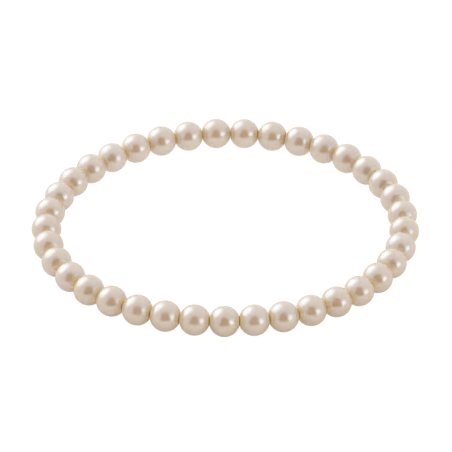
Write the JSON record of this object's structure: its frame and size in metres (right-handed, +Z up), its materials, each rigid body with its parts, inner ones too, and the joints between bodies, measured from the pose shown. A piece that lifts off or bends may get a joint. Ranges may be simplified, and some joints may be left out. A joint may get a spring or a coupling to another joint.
{
  "type": "pearl bracelet",
  "caption": "Single-strand stretch bracelet: near-round drilled pearls of one size threaded on a closed loop of elastic cord, lying flat in a slightly oval ring.",
  "frame": {"origin": "under the middle of the loop, on the surface that the pearls rest on", "axes": "+Z up out of the surface; +X along the loop's longer width; +Y from the front of the loop to its back"},
  "size_m": [0.071, 0.0646, 0.0056],
  "materials": {
    "nacre": "cream pearl nacre with a warm tan cast and a soft pink-silver lustre, smooth and softly glossy, golden round the drill holes",
    "elastic": "milky translucent elastic bead cord, smooth"
  },
  "bodies": {
    "root": {"pearl_01": "nacre", "pearl_02": "nacre", "pearl_03": "nacre", "pearl_04": "nacre", "pearl_05": "nacre", "pearl_06": "nacre", "pearl_07": "nacre", "pearl_08": "nacre", "pearl_09": "nacre", "pearl_10": "nacre", "pearl_11": "nacre", "pearl_12": "nacre", "pearl_13": "nacre", "pearl_14": "nacre", "pearl_15": "nacre", "pearl_16": "nacre", "pearl_17": "nacre", "pearl_18": "nacre", "pearl_19": "nacre", "pearl_20": "nacre", "pearl_21": "nacre", "pearl_22": "nacre", "pearl_23": "nacre", "pearl_24": "nacre", "pearl_25": "nacre", "pearl_26": "nacre", "pearl_27": "nacre", "pearl_28": "nacre", "pearl_29": "nacre", "pearl_30": "nacre", "pearl_31": "nacre", "pearl_32": "nacre", "pearl_33": "nacre", "pearl_34": "nacre", "pearl_35": "nacre", "pearl_36": "nacre", "pearl_37": "nacre", "elastic_cord": "elastic"}
  },
  "joints": []
}
